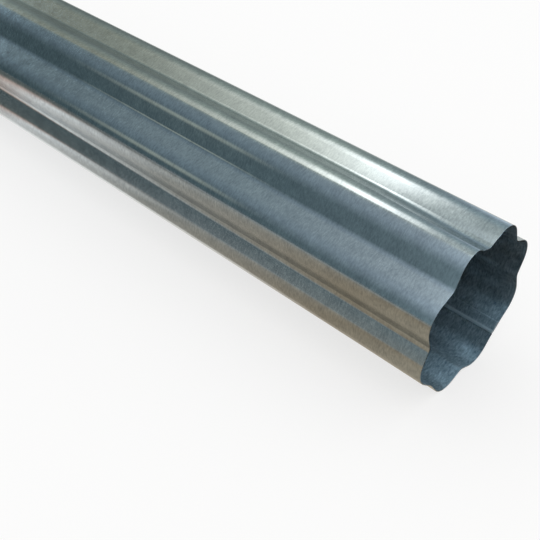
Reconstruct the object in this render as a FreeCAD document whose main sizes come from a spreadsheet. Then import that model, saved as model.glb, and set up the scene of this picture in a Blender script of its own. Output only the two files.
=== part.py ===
import FreeCAD, Part
import Sketcher
import os
from FreeCAD import Placement, Rotation, Vector
from math import acos, atan2, cos, hypot, pi, sin

# Fluted downpipe: one strip of galvanised sheet, roll-formed into a ring of flutes and closed along
# its length by a lock seam, where the two edges of the strip hook into each other inside the pipe.
# The pipe lies along X on its two lowest crests, with its middle over the origin.
# A flute is drawn from crest to crest across the pipe, with its middle on the sketch's Y axis.

# Driving sizes in millimetres, and the number of flutes.
SIZES = [
    ("pipe_length", 1000, "length the pipe is sold in"),
    ("pipe_diameter", 100, "over opposite crests"),
    ("wall", 0.5, "thickness of the sheet"),
    ("flute_count", 8, "flutes round the pipe, the seamed one included"),
    ("flute_depth", 4.0, "plain flute, under a straightedge laid across its crests"),
    ("seamed_flute_depth", 0.8, "seamed flute, measured the same way"),
    ("crest_bend", 14, "outside radius of the bend at a crest"),
    ("foot_bend", 5, "outside radius of the bend at the foot of a flank"),
    ("floor_margin", 0.95, "flat floor of the seamed flute, beside the lock seam"),
    ("lock_width", 5.5, "lock seam, from the centre of one fold to the centre of the other"),
    ("lock_gap", 0.1, "gap between the folded layers"),
    ("hook_relief", 0.3, "free edge of a hook to the centre of the fold that holds it"),
]

# Sizes that follow from the driving ones, as the sketches take them from the sheet.
HALF_PITCH = "(180 deg / sizes.flute_count)"
CREST_CENTRE = "(sizes.pipe_diameter / 2 - sizes.crest_bend)"
CREST_PLANE = f"({CREST_CENTRE} * cos({HALF_PITCH}) + sizes.crest_bend)"
FOLD = "(1.5 * sizes.wall + sizes.lock_gap)"
FOLD_X = "(sizes.lock_width / 2)"
HOOK_X = f"({FOLD_X} - sizes.hook_relief)"
FLOOR_END_X = f"({FOLD_X} + 2 * {FOLD} + sizes.lock_gap + sizes.floor_margin)"

# A point's place in this list is its number on an edge of a sketch.
POINTS = ("edge", "start", "end", "centre")


def make_size_sheet(doc):
    sheet = doc.addObject("Spreadsheet::Sheet", "sizes")
    for row, (alias, value, meaning) in enumerate(SIZES, start=1):
        sheet.set(f"A{row}", alias)
        sheet.set(f"B{row}", str(value))
        sheet.set(f"C{row}", meaning)
        sheet.setAlias(f"B{row}", alias)
    doc.recompute()
    return sheet


def origin_feature(body, role):
    return next(feature for feature in body.Origin.OriginFeatures if feature.Role == role)


def polar(radius, angle):
    return Vector(radius * cos(angle), radius * sin(angle), 0)


class Section:
    """A sketch across the pipe, with sizes that are bound to the sheet."""

    PIPE_CENTRE = (-1, "start")

    def __init__(self, body, name, sizes):
        self.sizes = sizes
        self.sketch = body.newObject("Sketcher::SketchObject", name)
        self.sketch.AttachmentSupport = (origin_feature(body, "YZ_Plane"), [""])
        self.sketch.MapMode = "FlatFace"

    def value(self, expression):
        return float(self.sketch.evalExpression(expression))

    def line(self, start, end):
        return self.sketch.addGeometry(Part.LineSegment(Vector(*start), Vector(*end)), False)

    def arc(self, centre, radius, *angles):
        circle = Part.Circle(Vector(*centre), Vector(0, 0, 1), radius)
        return self.sketch.addGeometry(Part.ArcOfCircle(circle, *sorted(angles)), False)

    def tie(self, kind, *where):
        where = [POINTS.index(item) if isinstance(item, str) else item for item in where]
        return self.sketch.addConstraint(Sketcher.Constraint(kind, *where))

    def size(self, name, expression, kind, *where):
        index = self.tie(kind, *where, self.value(expression))
        self.sketch.renameConstraint(index, name)
        self.sketch.setExpression(f"Constraints.{name}", expression)

    def right_of_middle(self, name, expression, edge, point):
        self.size(name, expression, "DistanceX", *self.PIPE_CENTRE, edge, point)

    def left_of_middle(self, name, expression, edge, point):
        self.size(name, expression, "DistanceX", edge, point, *self.PIPE_CENTRE)

    def from_centre(self, name, expression, edge, point):
        self.size(name, expression, "DistanceY", *self.PIPE_CENTRE, edge, point)


def add_crest_side(section, side, depth, foot_x=None):
    """Draws half a crest, its flank and the bend at the flank's foot, on both faces of the sheet.

    depth is the flute's depth and foot_x the distance of the bend's centre from the flute's middle.
    Gives back the outside and the inside bend at the foot.
    """
    sizes = section.sizes
    floor = f"({CREST_PLANE} - {depth})"
    to_side = section.right_of_middle if side == "right" else section.left_of_middle
    half_pitch = pi / sizes.flute_count
    crest = polar(section.value(CREST_CENTRE), pi / 2 - half_pitch)
    foot = Vector(section.value(foot_x) if foot_x else 0, section.value(floor) + sizes.foot_bend, 0)

    # The flank is the inside tangent of the bend at the crest and the bend at the foot.
    reach = foot - crest
    slope = atan2(reach.y, reach.x) - acos((sizes.crest_bend + sizes.foot_bend) / hypot(reach.x, reach.y))
    crest_ray = pi / 2 - half_pitch
    if side == "left":
        slope, crest_ray = pi - slope, pi - crest_ray
        crest.x, foot.x = -crest.x, -foot.x

    # On the right an arc ends at the flank, on the left it starts there.
    at_flank, away = ("end", "start") if side == "right" else ("start", "end")
    tops, bends = [], []
    for offset in (0, sizes.wall):
        top_radius, bend_radius = sizes.crest_bend - offset, sizes.foot_bend + offset
        top = section.arc(crest, top_radius, crest_ray, slope)
        flank = section.line(crest + polar(top_radius, slope), foot - polar(bend_radius, slope))
        bend = section.arc(foot, bend_radius, 1.5 * pi, slope + pi)
        section.tie("Tangent", top, at_flank, flank, "start")
        section.tie("Tangent", flank, "end", bend, at_flank)
        section.tie("Vertical", bend, away, bend, "centre")
        tops.append(top)
        bends.append(bend)
    top_out, top_in = tops
    bend_out, bend_in = bends
    edge = section.line(crest + polar(sizes.crest_bend, crest_ray), crest + polar(top_radius, crest_ray))
    section.tie("Coincident", edge, "start", top_out, away)
    section.tie("Coincident", edge, "end", top_in, away)
    section.tie("PointOnObject", *section.PIPE_CENTRE, edge)
    section.tie("PointOnObject", top_out, "centre", edge)
    section.tie("Coincident", top_in, "centre", top_out, "centre")
    section.tie("Coincident", bend_in, "centre", bend_out, "centre")

    to_side(f"{side}_crest_x", f"{CREST_CENTRE} * sin({HALF_PITCH})", top_out, "centre")
    section.from_centre(f"{side}_crest_y", f"{CREST_CENTRE} * cos({HALF_PITCH})", top_out, "centre")
    section.size(f"{side}_crest_out", "sizes.crest_bend", "Radius", top_out)
    section.size(f"{side}_crest_in", "sizes.crest_bend - sizes.wall", "Radius", top_in)
    section.size(f"{side}_foot_out", "sizes.foot_bend", "Radius", bend_out)
    section.size(f"{side}_foot_in", "sizes.foot_bend + sizes.wall", "Radius", bend_in)
    section.from_centre(f"{side}_foot_y", f"{floor} + sizes.foot_bend", bend_out, "centre")
    if foot_x:
        to_side(f"{side}_foot_x", foot_x, bend_out, "centre")
    else:
        section.tie("Vertical", *section.PIPE_CENTRE, bend_out, "centre")
    return bend_out, bend_in


def draw_plain_flute(body, sizes):
    section = Section(body, "plain_flute_section", sizes)
    for side in ("right", "left"):
        add_crest_side(section, side, "sizes.flute_depth")
    return section.sketch


def draw_seamed_flute(body, sizes):
    """Draws the flute with the lock: four layers of sheet, counted from the outside of the pipe.

    The left edge of the strip runs along layer 1 and folds back as layer 3. The right edge steps in to
    layer 4 round that fold, and folds back as layer 2 between the two layers of the left edge.
    """
    section = Section(body, "seamed_flute_section", sizes)
    wall, gap = sizes.wall, sizes.lock_gap
    fold, fold_x, hook_x = section.value(FOLD), section.value(FOLD_X), section.value(HOOK_X)
    floor_y = section.value(f"{CREST_PLANE} - sizes.seamed_flute_depth")
    floor_end_x = section.value(FLOOR_END_X)

    # Left edge of the strip: floor, fold and hook, each with its outer and its inner face.
    bend_out, bend_in = add_crest_side(section, "left", "sizes.seamed_flute_depth", FLOOR_END_X)
    fold_y, hook_y = floor_y - fold, floor_y - 2 * fold
    floor_out = section.line((-floor_end_x, floor_y), (fold_x, floor_y))
    floor_in = section.line((-floor_end_x, floor_y - wall), (fold_x, floor_y - wall))
    left_fold = section.arc((fold_x, fold_y), fold, -pi / 2, pi / 2)
    left_fold_in = section.arc((fold_x, fold_y), fold - wall, -pi / 2, pi / 2)
    hook_out = section.line((fold_x, hook_y), (-hook_x, hook_y))
    hook_in = section.line((fold_x, hook_y + wall), (-hook_x, hook_y + wall))
    hook_edge = section.line((-hook_x, hook_y), (-hook_x, hook_y + wall))
    section.tie("Tangent", bend_out, "end", floor_out, "start")
    section.tie("Tangent", bend_in, "end", floor_in, "start")
    section.tie("Tangent", floor_out, "end", left_fold, "end")
    section.tie("Tangent", floor_in, "end", left_fold_in, "end")
    section.tie("Tangent", left_fold, "start", hook_out, "start")
    section.tie("Tangent", left_fold_in, "start", hook_in, "start")
    section.tie("Coincident", hook_out, "end", hook_edge, "start")
    section.tie("Coincident", hook_in, "end", hook_edge, "end")
    section.tie("Coincident", left_fold_in, "centre", left_fold, "centre")
    section.tie("Horizontal", hook_out)
    section.tie("Horizontal", hook_in)
    section.tie("Vertical", hook_edge)
    section.size("left_fold", FOLD, "Radius", left_fold)
    section.right_of_middle("left_fold_x", FOLD_X, left_fold, "centre")
    section.left_of_middle("left_hook_x", HOOK_X, hook_edge, "start")

    # Right edge: floor, shoulder, wrap round the left edge's fold, step over to its own fold, hook.
    bend_out, bend_in = add_crest_side(section, "right", "sizes.seamed_flute_depth", FLOOR_END_X)
    wrap = fold + gap
    shoulder_x = fold_x + wrap + fold
    step_y = fold_y - wrap
    right_fold_y = step_y - wall + fold
    hook_y = right_fold_y + fold
    floor_out = section.line((floor_end_x, floor_y), (shoulder_x, floor_y))
    floor_in = section.line((floor_end_x, floor_y - wall), (shoulder_x, floor_y - wall))
    shoulder_out = section.arc((shoulder_x, fold_y), fold, pi / 2, pi)
    shoulder_in = section.arc((shoulder_x, fold_y), fold - wall, pi / 2, pi)
    wrap_out = section.arc((fold_x, fold_y), wrap, -pi / 2, 0)
    wrap_in = section.arc((fold_x, fold_y), wrap + wall, -pi / 2, 0)
    step_out = section.line((fold_x, step_y), (-fold_x, step_y))
    step_in = section.line((fold_x, step_y - wall), (-fold_x, step_y - wall))
    right_fold = section.arc((-fold_x, right_fold_y), fold, pi / 2, 1.5 * pi)
    right_fold_in = section.arc((-fold_x, right_fold_y), fold - wall, pi / 2, 1.5 * pi)
    hook_out = section.line((-fold_x, hook_y), (hook_x, hook_y))
    hook_in = section.line((-fold_x, hook_y - wall), (hook_x, hook_y - wall))
    hook_edge = section.line((hook_x, hook_y), (hook_x, hook_y - wall))
    section.tie("Tangent", bend_out, "start", floor_out, "start")
    section.tie("Tangent", bend_in, "start", floor_in, "start")
    section.tie("Tangent", floor_out, "end", shoulder_out, "start")
    section.tie("Tangent", floor_in, "end", shoulder_in, "start")
    section.tie("Tangent", shoulder_out, "end", wrap_out, "end")
    section.tie("Tangent", shoulder_in, "end", wrap_in, "end")
    section.tie("Tangent", wrap_out, "start", step_out, "start")
    section.tie("Tangent", wrap_in, "start", step_in, "start")
    section.tie("Tangent", step_out, "end", right_fold_in, "end")
    section.tie("Tangent", step_in, "end", right_fold, "end")
    section.tie("Tangent", right_fold, "start", hook_out, "start")
    section.tie("Tangent", right_fold_in, "start", hook_in, "start")
    section.tie("Coincident", hook_out, "end", hook_edge, "start")
    section.tie("Coincident", hook_in, "end", hook_edge, "end")
    section.tie("Coincident", shoulder_in, "centre", shoulder_out, "centre")
    section.tie("Coincident", wrap_out, "centre", left_fold, "centre")
    section.tie("Coincident", wrap_in, "centre", wrap_out, "centre")
    section.tie("Coincident", right_fold_in, "centre", right_fold, "centre")
    for layer in (step_out, step_in, hook_out, hook_in):
        section.tie("Horizontal", layer)
    section.tie("Vertical", hook_edge)
    section.size("shoulder", FOLD, "Radius", shoulder_out)
    section.size("wrap", f"{FOLD} + sizes.lock_gap", "Radius", wrap_out)
    section.size("right_fold", FOLD, "Radius", right_fold)
    section.left_of_middle("right_fold_x", FOLD_X, right_fold, "centre")
    section.right_of_middle("right_hook_x", HOOK_X, hook_edge, "start")
    return section.sketch


def run_along_pipe(body, name, sketch):
    pad = body.newObject("PartDesign::Pad", name)
    pad.Profile = sketch
    pad.SideType = "Symmetric"
    pad.setExpression("Length", "sizes.pipe_length")
    return pad


def make_downpipe(doc, sizes):
    body = doc.addObject("PartDesign::Body", "downpipe")
    body.Label = "downpipe"
    plain_flute = run_along_pipe(body, "plain_flute", draw_plain_flute(body, sizes))
    doc.recompute()

    # The plain flutes go round the pipe and leave one place open, beside the first of them.
    plain_flutes = body.newObject("PartDesign::PolarPattern", "plain_flutes")
    plain_flutes.Originals = [plain_flute]
    plain_flutes.Axis = (origin_feature(body, "X_Axis"), [""])
    plain_flutes.Reversed = True
    plain_flutes.setExpression("Angle", "360 deg * (sizes.flute_count - 2) / sizes.flute_count")
    plain_flutes.setExpression("Occurrences", "sizes.flute_count - 1")
    body.Tip = plain_flutes
    doc.recompute()

    seamed_section = draw_seamed_flute(body, sizes)
    seamed_section.AttachmentOffset = Placement(Vector(), Rotation(Vector(0, 0, 1), 2 * 180 / sizes.flute_count))
    seamed_section.setExpression("AttachmentOffset.Rotation.Angle", f"2 * {HALF_PITCH}")
    body.Tip = run_along_pipe(body, "seamed_flute", seamed_section)

    # Turned over, the first flute is the lowest one, and the crests beside it carry the pipe.
    body.Placement = Placement(Vector(), Rotation(Vector(1, 0, 0), 180))
    body.setExpression("Placement.Base.z", CREST_PLANE)
    doc.recompute()
    return body


def check_document(doc, part):
    failed = [item.Name for item in doc.Objects if "Invalid" in item.State or "Error" in item.State]
    if failed:
        raise RuntimeError(f"these objects failed: {failed}")
    if part.Shape.isNull() or not part.Shape.isValid():
        raise RuntimeError("the pipe has no valid shape")
    if len(part.Shape.Solids) != 1:
        raise RuntimeError(f"the pipe is {len(part.Shape.Solids)} solids, but one strip of sheet")


doc = FreeCAD.newDocument("fluted_downpipe")
downpipe = make_downpipe(doc, make_size_sheet(doc))
check_document(doc, downpipe)
os.makedirs("parts", exist_ok=True)
downpipe.Shape.exportStep(f"parts/{downpipe.Label}.step")
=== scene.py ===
from math import acos, atan2, cos, degrees, exp, hypot, pi, radians, sin, sqrt
import bmesh, bpy
from mathutils import Matrix, Vector, noise


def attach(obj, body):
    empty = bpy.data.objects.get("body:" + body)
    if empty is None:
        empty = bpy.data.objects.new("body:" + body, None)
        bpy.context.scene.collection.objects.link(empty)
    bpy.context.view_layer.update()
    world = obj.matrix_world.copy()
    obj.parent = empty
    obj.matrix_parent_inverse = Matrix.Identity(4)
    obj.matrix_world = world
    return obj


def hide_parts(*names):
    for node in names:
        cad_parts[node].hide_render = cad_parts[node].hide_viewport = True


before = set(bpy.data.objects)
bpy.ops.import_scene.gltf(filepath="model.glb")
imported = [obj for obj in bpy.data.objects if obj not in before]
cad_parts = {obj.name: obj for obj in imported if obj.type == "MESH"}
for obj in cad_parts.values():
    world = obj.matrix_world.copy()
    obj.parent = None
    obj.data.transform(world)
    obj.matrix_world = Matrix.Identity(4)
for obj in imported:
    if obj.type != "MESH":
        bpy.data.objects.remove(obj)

scene = bpy.context.scene
scene.view_settings.view_transform = "Standard"
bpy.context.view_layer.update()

mm = 0.001  # metres
colourMix = {"factor": 0, "a": 6, "b": 7, "result": 2}  # sockets of a Mix node that mixes colours


def hexColour(code):  # sRGB hex to the linear colour that sockets take
    parts = [int(code[i:i + 2], 16) / 255 for i in (1, 3, 5)]
    return [c / 12.92 if c <= 0.04045 else ((c + 0.055) / 1.055) ** 2.4 for c in parts] + [1.0]


def addNode(tree, kind, values=None, links=None, **settings):
    node = tree.nodes.new(kind)
    for name, value in settings.items():
        setattr(node, name, value)
    for socket, value in (values or {}).items():
        node.inputs[socket].default_value = value
    for socket, source in (links or {}).items():
        tree.links.new(source, node.inputs[socket])
    return node


def newMaterial(name):
    material = bpy.data.materials.new(name)
    material.use_nodes = True
    material.node_tree.nodes.clear()
    return material, material.node_tree


def setStops(ramp, stops):  # each stop is a place from 0 to 1, with a hex colour or a grey level
    elements = ramp.color_ramp.elements
    while len(elements) < len(stops):
        elements.new(1.0)
    for element, (position, colour) in zip(elements, stops):
        element.position = position
        element.color = hexColour(colour) if isinstance(colour, str) else (colour, colour, colour, 1)


def newObject(name, bm, material):
    mesh = bpy.data.meshes.new(name)
    bm.to_mesh(mesh)
    bm.free()
    mesh.materials.append(material)
    mesh.polygons.foreach_set("use_smooth", [True] * len(mesh.polygons))
    piece = bpy.data.objects.new(name, mesh)
    scene.collection.objects.link(piece)
    return piece


# The pipe is one strip of sheet, rolled into flutes and hooked together along its length. Sizes in mm.
pipe = {
    "length": 1000, "diameter": 100, "wall": 0.5, "flutes": 8,
    "fluteDepth": 4.0, "seamedFluteDepth": 0.8, "crestBend": 14, "footBend": 5,
    # the lock's fold is painted near white as a painted highlight, which fades over a 1 mm straight after it
    "floorMargin": 0.95, "lockWidth": 5.5, "lockGap": 0.1, "hookRelief": 0.3, "highlightFadeStrip": 1.0,
    "stations": 60, "mergeWithin": 0.001,
    "bendStep": 4.0, "leastSteps": 3,                   # degrees of bend to a face, fewest faces in a bend
    "wave": 0.06, "waveLength": 90, "wavesRound": 1.3,  # slight waviness of rolled sheet
    # angle from +Y, depth, width in degrees and reach from the near end: the top flute is pinched there,
    # the lower one in front pressed out
    "dents": [(97.5, 2.8, 6, 45), (-135, -3.2, 10, 30)],
    "cutEdge": 0.06, "cutSegments": 2, "cutAngle": 60,  # the cut edge of the sheet is a little rounded
}
halfPitch = pi / pipe["flutes"]
layer = pipe["wall"] + pipe["lockGap"]  # from one folded layer to the next, and a fold's radius
fold = pipe["lockWidth"] / 2            # middle of the lock to the centre of a fold
foldOutside = layer + pipe["wall"] / 2
floorEnd = fold + 2 * foldOutside + pipe["lockGap"] + pipe["floorMargin"]
crestRadius, footRadius = pipe["crestBend"] - pipe["wall"] / 2, pipe["footBend"] + pipe["wall"] / 2
crestCentre = pipe["diameter"] / 2 - pipe["crestBend"]
axisHeight = crestCentre * cos(halfPitch) + pipe["crestBend"]  # the pipe lies on its two lowest crests
seamAngle = -pi / 4  # middle of the seamed flute, from +Y towards +Z


def flankOf(depth, footX):  # slope and length of the straight between a crest bend and a foot bend
    reach, rise = crestCentre * sin(halfPitch) - footX, pipe["crestBend"] + pipe["footBend"] - depth
    span, both = hypot(reach, rise), pipe["crestBend"] + pipe["footBend"]
    return atan2(rise, -reach) - acos(both / span) - pi / 2, sqrt(span ** 2 - both ** 2)


slope, flank = flankOf(pipe["fluteDepth"], 0)
seamSlope, seamFlank = flankOf(pipe["seamedFluteDepth"], floorEnd)

# The strip's way round the section: straights as (length,), bends as (radius, turn to the left).
hook = (2 * fold - pipe["hookRelief"],)
halfCrest, halfSeamCrest = (crestRadius, halfPitch + slope), (crestRadius, halfPitch + seamSlope)
lockIn = [hook, (layer, pi), (fold + floorEnd,)]
upToCrest = [(footRadius, -seamSlope), (seamFlank,), halfSeamCrest]
plainFlute = [halfCrest, (flank,), (footRadius, -2 * slope), (flank,), halfCrest]
# this fold of the lock carries a painted highlight, which fades over the straight after it
highlightedFold = (2 * layer, -pi / 2)
lockOut = [(pipe["floorMargin"],), (layer, pi / 2), highlightedFold, (pipe["highlightFadeStrip"],),
           (2 * fold - pipe["highlightFadeStrip"],), (layer, -pi), hook]
way = lockIn + upToCrest + plainFlute * (pipe["flutes"] - 1) + upToCrest[::-1] + lockOut

sheet = bmesh.new()
onSheet = sheet.verts.layers.float_vector.new("sheetPlace")
highlightLayer = sheet.verts.layers.float.new("paintedHighlight")
outward = Vector((0, cos(seamAngle), sin(seamAngle)))
along = Vector((0, sin(seamAngle), -cos(seamAngle)))
floorRadius = axisHeight - pipe["seamedFluteDepth"] - pipe["wall"] / 2
point = Vector((0, 0, axisHeight)) + outward * (floorRadius - 2 * layer) - along * (fold - pipe["hookRelief"])
heading, walked = along.copy(), 0.0
ends = [sheet.verts.new(point + Vector((side * pipe["length"] / 2, 0, 0))) for side in (-1, 1)]
bmesh.ops.subdivide_edges(sheet, edges=[sheet.edges.new(ends)], cuts=pipe["stations"] - 1)
front = list(sheet.edges)
for vert in sheet.verts:
    vert[onSheet] = (vert.co.x * mm, 0, 0)

for move in way:
    straight = len(move) == 1
    steps = 1 if straight else max(pipe["leastSteps"], round(degrees(abs(move[1])) / pipe["bendStep"]))
    for step in range(steps):
        if straight:
            made = bmesh.ops.extrude_edge_only(sheet, edges=front)["geom"]
            newVerts = [v for v in made if isinstance(v, bmesh.types.BMVert)]
            bmesh.ops.translate(sheet, verts=newVerts, vec=heading * move[0])
            point, walked = point + heading * move[0], walked + move[0]
        else:
            turn = move[1] / steps
            side = Vector((0, -heading.z, heading.y)) * (1 if turn > 0 else -1)
            centre = point + side * move[0]
            made = bmesh.ops.spin(sheet, geom=front, cent=centre, axis=(1, 0, 0), angle=turn, steps=1,
                                  use_merge=False)["geom_last"]
            spun = Matrix.Rotation(turn, 3, "X")
            point, heading = centre + spun @ (point - centre), spun @ heading
            walked += move[0] * abs(turn)
        front = [e for e in made if isinstance(e, bmesh.types.BMEdge)]
        for vert in {v for e in front for v in e.verts}:
            vert[onSheet] = (vert.co.x * mm, walked * mm, 0)
            # 1 on the fold that gets the painted highlight, 0 elsewhere
            vert[highlightLayer] = 1.0 if move is highlightedFold else 0.0
print("strip of", round(walked, 1), "mm rolled,", len(sheet.faces), "faces; ends at",
      [round(c, 3) for c in point])

bmesh.ops.remove_doubles(sheet, verts=sheet.verts, dist=pipe["mergeWithin"])
for vert in sheet.verts:  # layers that lie on each other move together
    out = (vert.co - Vector((vert.co.x, 0, axisHeight))).normalized()
    wavePlace = (vert.co.x / pipe["waveLength"], out.y * pipe["wavesRound"], out.z * pipe["wavesRound"])
    fromRim, shift = pipe["length"] / 2 - vert.co.x, noise.noise(Vector(wavePlace)) * pipe["wave"]
    for angle, depth, width, reach in pipe["dents"]:
        aside = degrees(atan2(out.z, out.y)) - angle
        shift -= depth * exp(-(aside / width) ** 2 - (fromRim / reach) ** 2)
    vert.co += out * shift
bmesh.ops.recalc_face_normals(sheet, faces=sheet.faces)
bmesh.ops.scale(sheet, verts=sheet.verts, vec=(mm, mm, mm))

# Galvanised steel: sheet dipped in zinc and rolled smooth. The eye gets a half-sharp mirror, cool grey, flecked
# across the pipe by the rolls and clouded by zinc crystals. The inside is duller and more spotted. The seam's
# fold is painted near white, a painted highlight along the seam.
zinc = {
    "dark": "#989EA2", "light": "#BDC3C5", "roughness": (0.11, 0.18),
    "insideDark": "#7B848A", "insideLight": "#D8DEE0", "insideRoughness": 0.5,
    # painted highlight: near-white colour of the seam's fold, and its roughness
    "paintedHighlight": "#F2F5F5", "highlightFoldRoughness": 0.5,
    "fleckWidth": 1.1, "fleckLength": 3.0,  # mm; the real flecks are finer, these just show
    "fleckGrain": 0.65, "fleckWarp": 0.2,
    "cloudSize": 9.0,                       # mm, a few zinc crystals
    "cloudGrain": 0.55, "cloudShare": 0.35, "detail": 3,
    "toneRange": (0.33, 0.67),              # part of the noise that runs from dark to light
    "bump": 0.008, "bumpStrength": 0.6,     # bump in mm
}
galvanised, tree = newMaterial("galvanised_steel")
place = addNode(tree, "ShaderNodeAttribute", attribute_name="sheetPlace")  # metres along and across the strip
fleckScale = (1 / (zinc["fleckWidth"] * mm), 1 / (zinc["fleckLength"] * mm), 1)
fleckMap = addNode(tree, "ShaderNodeMapping", {"Scale": fleckScale}, {"Vector": place.outputs["Vector"]})
flecks = addNode(tree, "ShaderNodeTexNoise",
                 {"Scale": 1, "Detail": zinc["detail"], "Roughness": zinc["fleckGrain"],
                  "Distortion": zinc["fleckWarp"]},
                 {"Vector": fleckMap.outputs["Vector"]})
cloudScale = [1 / (zinc["cloudSize"] * mm)] * 3
cloudMap = addNode(tree, "ShaderNodeMapping", {"Scale": cloudScale}, {"Vector": place.outputs["Vector"]})
clouds = addNode(tree, "ShaderNodeTexNoise",
                 {"Scale": 1, "Detail": zinc["detail"], "Roughness": zinc["cloudGrain"]},
                 {"Vector": cloudMap.outputs["Vector"]})
tone = addNode(tree, "ShaderNodeMix", {"Factor": zinc["cloudShare"]},
               {"A": flecks.outputs["Fac"], "B": clouds.outputs["Fac"]})
spread = addNode(tree, "ShaderNodeMapRange",
                 {"From Min": zinc["toneRange"][0], "From Max": zinc["toneRange"][1]},
                 {"Value": tone.outputs["Result"]})
colour = addNode(tree, "ShaderNodeValToRGB", links={"Fac": spread.outputs["Result"]})
setStops(colour, [(0, zinc["dark"]), (1, zinc["light"])])
gloss = addNode(tree, "ShaderNodeMapRange", {"To Min": zinc["roughness"][0], "To Max": zinc["roughness"][1]},
                {"Value": spread.outputs["Result"]})

# a face that looks towards the pipe's axis is inside
where = addNode(tree, "ShaderNodeTexCoord")
fromAxis = addNode(tree, "ShaderNodeMapping", {"Location": (0, 0, -axisHeight * mm), "Scale": (0, 1, 1)},
                   {"Vector": where.outputs["Object"]})
facing = addNode(tree, "ShaderNodeVectorMath", operation="DOT_PRODUCT",
                 links={0: fromAxis.outputs["Vector"], 1: where.outputs["Normal"]})
inside = addNode(tree, "ShaderNodeMath", {1: 0.0}, {0: facing.outputs["Value"]}, operation="LESS_THAN")
spotted = addNode(tree, "ShaderNodeValToRGB", links={"Fac": spread.outputs["Result"]})
setStops(spotted, [(0, zinc["insideDark"]), (1, zinc["insideLight"])])
coat = addNode(tree, "ShaderNodeMix", data_type="RGBA",
               links={colourMix["factor"]: inside.outputs["Value"], colourMix["a"]: colour.outputs["Color"],
                      colourMix["b"]: spotted.outputs["Color"]})
dull = addNode(tree, "ShaderNodeMix", {"B": zinc["insideRoughness"]},
               {"Factor": inside.outputs["Value"], "A": gloss.outputs["Result"]})

# painted highlight: the seam's fold is mixed towards near white
paintedHighlight = addNode(tree, "ShaderNodeAttribute", attribute_name="paintedHighlight")
bright = addNode(tree, "ShaderNodeMix", {colourMix["b"]: hexColour(zinc["paintedHighlight"])}, data_type="RGBA",
                 links={colourMix["factor"]: paintedHighlight.outputs["Fac"],
                        colourMix["a"]: coat.outputs[colourMix["result"]]})
smooth = addNode(tree, "ShaderNodeMix", {"B": zinc["highlightFoldRoughness"]},
                 {"Factor": paintedHighlight.outputs["Fac"], "A": dull.outputs["Result"]})
bump = addNode(tree, "ShaderNodeBump", {"Strength": zinc["bumpStrength"], "Distance": zinc["bump"] * mm},
               {"Height": tone.outputs["Result"]})
steel = addNode(tree, "ShaderNodeBsdfPrincipled", {"Metallic": 1.0},
                {"Base Color": bright.outputs[colourMix["result"]], "Roughness": smooth.outputs["Result"],
                 "Normal": bump.outputs["Normal"]})
addNode(tree, "ShaderNodeOutputMaterial", links={"Surface": steel.outputs["BSDF"]})
print("galvanised steel made")

downpipe = newObject("downpipe_sheet", sheet, galvanised)
wall = downpipe.modifiers.new("wall", "SOLIDIFY")
wall.thickness, wall.offset = pipe["wall"] * mm, 0
wall.use_even_offset = wall.use_quality_normals = True
cut = downpipe.modifiers.new("cutEdge", "BEVEL")
cut.width, cut.segments = pipe["cutEdge"] * mm, pipe["cutSegments"]
cut.limit_method, cut.angle_limit, cut.harden_normals = "ANGLE", radians(pipe["cutAngle"]), True
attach(downpipe, "root")
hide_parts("downpipe")
print("downpipe modelled")

# Studio: a pale floor under an even white sky. Both show white, and the floor keeps the pipe's soft shadow.
studio = {"half": 4.0, "floor": "#F7F7F6", "white": "#FFFFFF",
          "lift": 0.7}  # share of plain white where the floor is seen
paleFloor, tree = newMaterial("pale_floor")
matt = addNode(tree, "ShaderNodeBsdfDiffuse", {"Color": hexColour(studio["floor"])})
plain = addNode(tree, "ShaderNodeEmission", {"Color": hexColour(studio["white"]), "Strength": 1})
path = addNode(tree, "ShaderNodeLightPath")  # seen by the camera, in metal or through glass
seen = addNode(tree, "ShaderNodeMath", operation="MAXIMUM",
               links={0: path.outputs["Is Camera Ray"], 1: path.outputs["Is Glossy Ray"]})
seen = addNode(tree, "ShaderNodeMath", operation="MAXIMUM",
               links={0: seen.outputs["Value"], 1: path.outputs["Is Transmission Ray"]})
lifted = addNode(tree, "ShaderNodeMath", {1: studio["lift"]}, {0: seen.outputs["Value"]}, operation="MULTIPLY")
both = addNode(tree, "ShaderNodeMixShader",
               links={0: lifted.outputs["Value"], 1: matt.outputs["BSDF"], 2: plain.outputs["Emission"]})
addNode(tree, "ShaderNodeOutputMaterial", links={"Surface": both.outputs["Shader"]})
bm = bmesh.new()
bmesh.ops.create_grid(bm, x_segments=1, y_segments=1, size=studio["half"])
newObject("floor", bm, paleFloor)

scene.world = bpy.data.worlds.new("white_sky")
scene.world.use_nodes = True
tree = scene.world.node_tree
tree.nodes.clear()
sky = addNode(tree, "ShaderNodeBackground", {"Color": hexColour(studio["white"]), "Strength": 1})
addNode(tree, "ShaderNodeOutputWorld", links={"Surface": sky.outputs["Background"]})


def lightPanel(tree, across, along, panel):  # each patch is a band across the panel times a band along it
    total = None
    for patch in panel["patches"]:
        bands = []
        for socket, side in ((across, "across"), (along, "along")):
            low, high = panel[side]
            share = addNode(tree, "ShaderNodeMapRange", {"From Min": low, "From Max": high}, {"Value": socket})
            bands.append(addNode(tree, "ShaderNodeValToRGB", links={"Fac": share.outputs["Result"]}))
            setStops(bands[-1], [((at - low) / (high - low), level) for at, level in patch[side]])
        shade = addNode(tree, "ShaderNodeVectorMath", operation="MULTIPLY",
                        links={0: bands[0].outputs["Color"], 1: bands[1].outputs["Color"]})
        glow = addNode(tree, "ShaderNodeEmission", {"Strength": patch["strength"]},
                       {"Color": shade.outputs["Vector"]})
        if total:
            glow = addNode(tree, "ShaderNodeAddShader", links={0: total.outputs[0], 1: glow.outputs[0]})
        total = glow
    addNode(tree, "ShaderNodeOutputMaterial", links={"Surface": total.outputs[0]})


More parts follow.
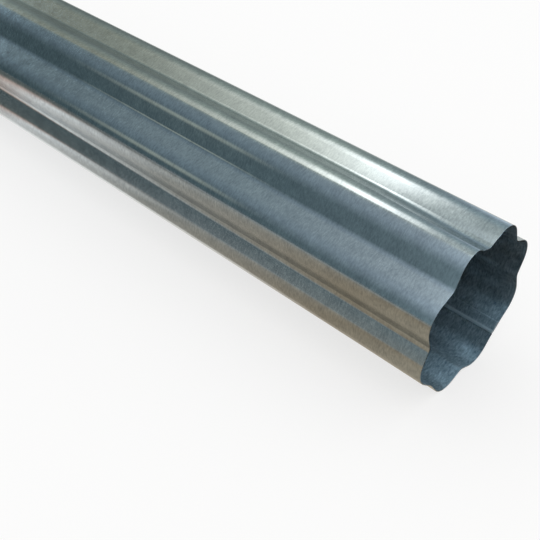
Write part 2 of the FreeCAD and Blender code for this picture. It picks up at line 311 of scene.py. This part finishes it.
# Light tent: a tube of cloth round the pipe, which only the metal's reflections see. Across it run degrees
# from the back (+Y) over the top, along it metres of x.
tent = {
    "radius": 0.6, "segments": 128, "across": (0, 360), "along": (-1.5, 1.5),
    "patches": [
        {"strength": 0.82,  # cloth behind the pipe, grey below and white above
         "across": [(0, "#B0BEBA"), (18, "#B4C2BE"), (42, "#DEEEE4"), (72, "#FAFFEA"), (80, "#FAFFEA"), (82, 0),
                    (345, 0), (352, "#B0BEBA")],
         "along": [(-0.85, 0.95), (-0.5, 0.52), (-0.25, 0.64), (0.08, 1.0), (0.27, "#DCE6FA")]},
        {"strength": 0.82,  # blue-grey cloth overhead, down to a dark room in front
         "across": [(80, 0), (82, "#DCE6E4"), (94, "#C2D1DB"), (126, "#B2C3D0"), (166, "#7E929A"),
                    (330, "#7A9499"), (345, 0)],
         "along": [(-0.85, 1.3), (-0.55, "#BEC8C8"), (0.0, "#E4EBEB"), (0.25, 1.15), (0.3, 1.6), (0.42, 1.6),
                   (0.55, 0.25)]},
        {"strength": 1.7,   # glow round the softbox
         "across": [(44, 0), (62, 0.9), (78, 0.9), (81.5, 0)],
         "along": [(-0.3, 0), (0.0, 0.36), (0.13, 1.0), (0.19, 0.9), (0.27, 0)]},
        {"strength": 0.7,   # light behind the near end
         "across": [(0, 1), (32, 0), (345, 0), (355, 1)],
         "along": [(0.21, 0), (0.29, "#E4F0FF")]},
        {"strength": 0.5,   # far window
         "across": [(145, 0), (152, "#D8D6BC"), (159, "#D8D6BC"), (167, 0)],
         "along": [(-0.36, 0), (-0.2, 1), (-0.08, 1), (0.02, 0)]},
        {"strength": 4.8,   # light from above into both ends
         "across": [(40, 0), (60, "#9EBFD4"), (105, "#9EBFD4"), (130, 0)],
         "along": [(-1.1, 0), (-0.9, 1), (-0.75, 1), (-0.66, 0), (0.5, 0), (0.58, 1), (0.9, 1), (1.1, 0)]},
    ],
}
cloth, tree = newMaterial("tent_cloth")
where = addNode(tree, "ShaderNodeTexCoord")
parts = addNode(tree, "ShaderNodeSeparateXYZ", links={"Vector": where.outputs["Object"]})
rise = addNode(tree, "ShaderNodeMath", {1: axisHeight * mm}, {0: parts.outputs["Z"]}, operation="SUBTRACT")
angle = addNode(tree, "ShaderNodeMath", operation="ARCTAN2",
                links={0: rise.outputs["Value"], 1: parts.outputs["Y"]})
degree = addNode(tree, "ShaderNodeMath", links={0: angle.outputs["Value"]}, operation="DEGREES")
turned = addNode(tree, "ShaderNodeMath", {1: 360.0}, {0: degree.outputs["Value"]}, operation="FLOORED_MODULO")
lightPanel(tree, turned.outputs["Value"], parts.outputs["X"], tent)
bm = bmesh.new()
bmesh.ops.create_cone(bm, cap_ends=True, segments=tent["segments"], radius1=tent["radius"],
                      radius2=tent["radius"], depth=tent["along"][1] - tent["along"][0],
                      matrix=Matrix.Translation((0, 0, axisHeight * mm)) @ Matrix.Rotation(pi / 2, 4, "Y"))
tentTube = newObject("light_tent", bm, cloth)

# Glowing card on the floor, which only the metal's reflections see: a painted reflection of a lit floor, tan
# in front of the pipe and paler where painted light falls on it, grey behind. Across it run metres of y, along
# it metres of x.
card = {
    "across": (-0.58, 0.58), "along": (-1.2, 1.2), "aboveFloor": 0.0004,
    "patches": [
        {"strength": 0.8,   # the card in front, painted dark past the near end
         "across": [(-0.58, "#97A8AC"), (-0.36, "#A6B3B5"), (-0.22, 1), (-0.02, 1), (0.0, 0)],
         "along": [(-0.5, "#B4B1A8"), (-0.1, "#7E8985"), (0.05, "#979894"), (0.24, "#D1D0C9"), (0.42, "#C3B39B"),
                   (0.505, "#D6CAB4"), (0.54, "#3C464E")]},
        {"strength": 1.05,  # pale patch of light on it
         "across": [(-0.22, 0), (-0.1, 0.85), (-0.03, 0.4), (0.0, 0)],
         "along": [(0.0, 0), (0.06, "#DCB8A8"), (0.12, 1), (0.26, 0)]},
        {"strength": 0.7,   # painted line of light close to the pipe
         "across": [(-0.048, 0), (-0.042, 1), (-0.036, 1), (-0.031, 0)],
         "along": [(0.0, 0.1), (0.25, 0.9), (0.34, 0.75), (0.42, 0.2), (0.5, 0)]},
        {"strength": 0.45,  # painted light along the far edge
         "across": [(-0.52, 0), (-0.42, 1), (-0.34, 1), (-0.25, 0)],
         "along": [(-0.1, 0.3), (0.06, "#D8E0E8"), (0.25, 0.65)]},
        {"strength": 1.1,   # grey card behind
         "across": [(0.0, 0), (0.02, "#B4B4AE"), (0.3, "#C8CCC8")],
         "along": [(0.5, 1), (0.54, 0.1)]},
    ],
}
# painted reflection: the card glows with the floor's light and shade that the metal shows
floorReflectionGlow, tree = newMaterial("floor_reflection_glow")
where = addNode(tree, "ShaderNodeTexCoord")
parts = addNode(tree, "ShaderNodeSeparateXYZ", links={"Vector": where.outputs["Object"]})
lightPanel(tree, parts.outputs["Y"], parts.outputs["X"], card)
bm = bmesh.new()
bmesh.ops.create_grid(bm, x_segments=1, y_segments=1, size=1)
bmesh.ops.scale(bm, verts=bm.verts, vec=(card["along"][1], card["across"][1], 1))
bmesh.ops.translate(bm, verts=bm.verts, vec=(0, 0, card["aboveFloor"]))
reflectionCard = newObject("floor_reflection_card", bm, floorReflectionGlow)
for panel in (tentTube, reflectionCard):
    panel.visible_camera = panel.visible_diffuse = panel.visible_transmission = panel.visible_shadow = False

# One softbox above and behind the pipe is the core of the highlight.
softbox = {"angle": 67, "x": 0.165, "distance": 0.58, "size": (0.07, 0.24), "power": 0.04}
lamp = bpy.data.objects.new("softbox", bpy.data.lights.new("softbox", "AREA"))
lamp.data.shape, lamp.data.energy = "RECTANGLE", softbox["power"]
lamp.data.size, lamp.data.size_y = softbox["size"]
aim = Vector((0, cos(radians(softbox["angle"])), sin(radians(softbox["angle"]))))
lamp.location = Vector((softbox["x"], 0, axisHeight * mm)) + aim * softbox["distance"]
lamp.rotation_euler = (radians(softbox["angle"] - 90), 0, 0)
scene.collection.objects.link(lamp)
print("studio lit")

# The pipe sits high in the frame, so the camera is shifted.
view = {"location": (0.6568, -0.36388, 0.36761), "turn": (55.332, -3.725, 42.381),
        "lens": 62.647, "sensor": 36, "shift": -0.125, "clip": 0.01}
camera = bpy.data.objects.new("camera", bpy.data.cameras.new("camera"))
camera.location = view["location"]
camera.rotation_euler = [radians(a) for a in view["turn"]]
camera.data.lens, camera.data.sensor_width = view["lens"], view["sensor"]
camera.data.shift_y, camera.data.clip_start = view["shift"], view["clip"]
scene.collection.objects.link(camera)
scene.camera = camera
